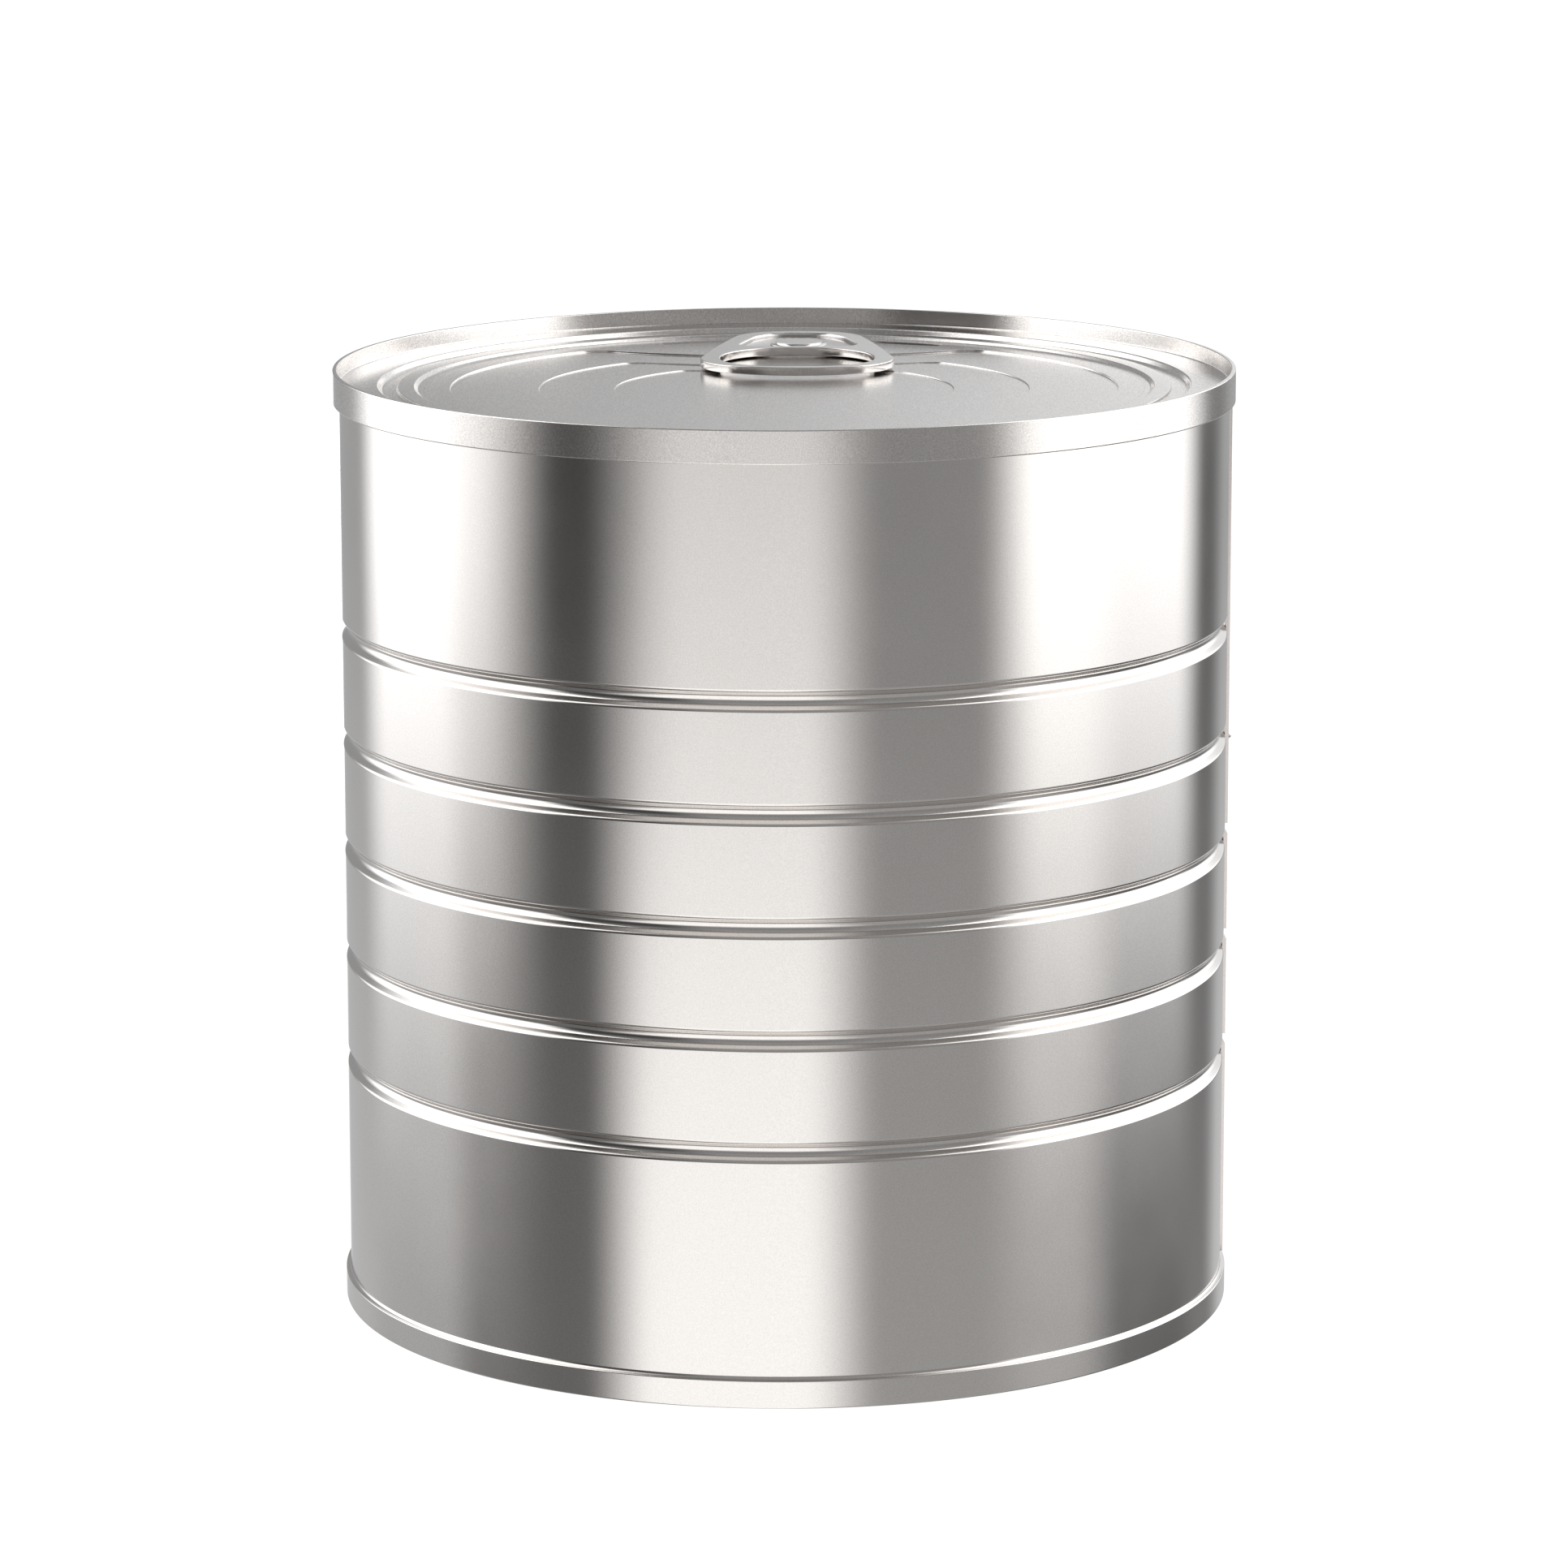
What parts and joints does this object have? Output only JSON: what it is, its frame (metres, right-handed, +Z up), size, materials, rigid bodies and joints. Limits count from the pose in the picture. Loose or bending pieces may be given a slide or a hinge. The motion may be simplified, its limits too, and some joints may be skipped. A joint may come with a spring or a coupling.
{
  "type": "food can",
  "caption": "Round tinplate food can with pressed beads, a welded side seam and a ring-pull end, shut and full.",
  "frame": {"origin": "middle of the foot, on the surface that the can stands on", "axes": "+Z up along the can's axis, +Y towards the nose of the pull tab, +X towards the side seam"},
  "size_m": [0.1034, 0.1032, 0.1087],
  "materials": {
    "tinplate": "satin tinplate",
    "tab_steel": "smooth bright steel",
    "seam_lacquer": "pale lacquered weld"
  },
  "bodies": {
    "root": {"can_body": "tinplate", "base_end": "tinplate", "pull_end": "tinplate", "pull_tab": "tab_steel", "rivet": "tab_steel", "side_seam_1": "seam_lacquer", "side_seam_2": "seam_lacquer", "side_seam_3": "seam_lacquer", "side_seam_4": "seam_lacquer", "seam_drop": "seam_lacquer"}
  },
  "joints": []
}
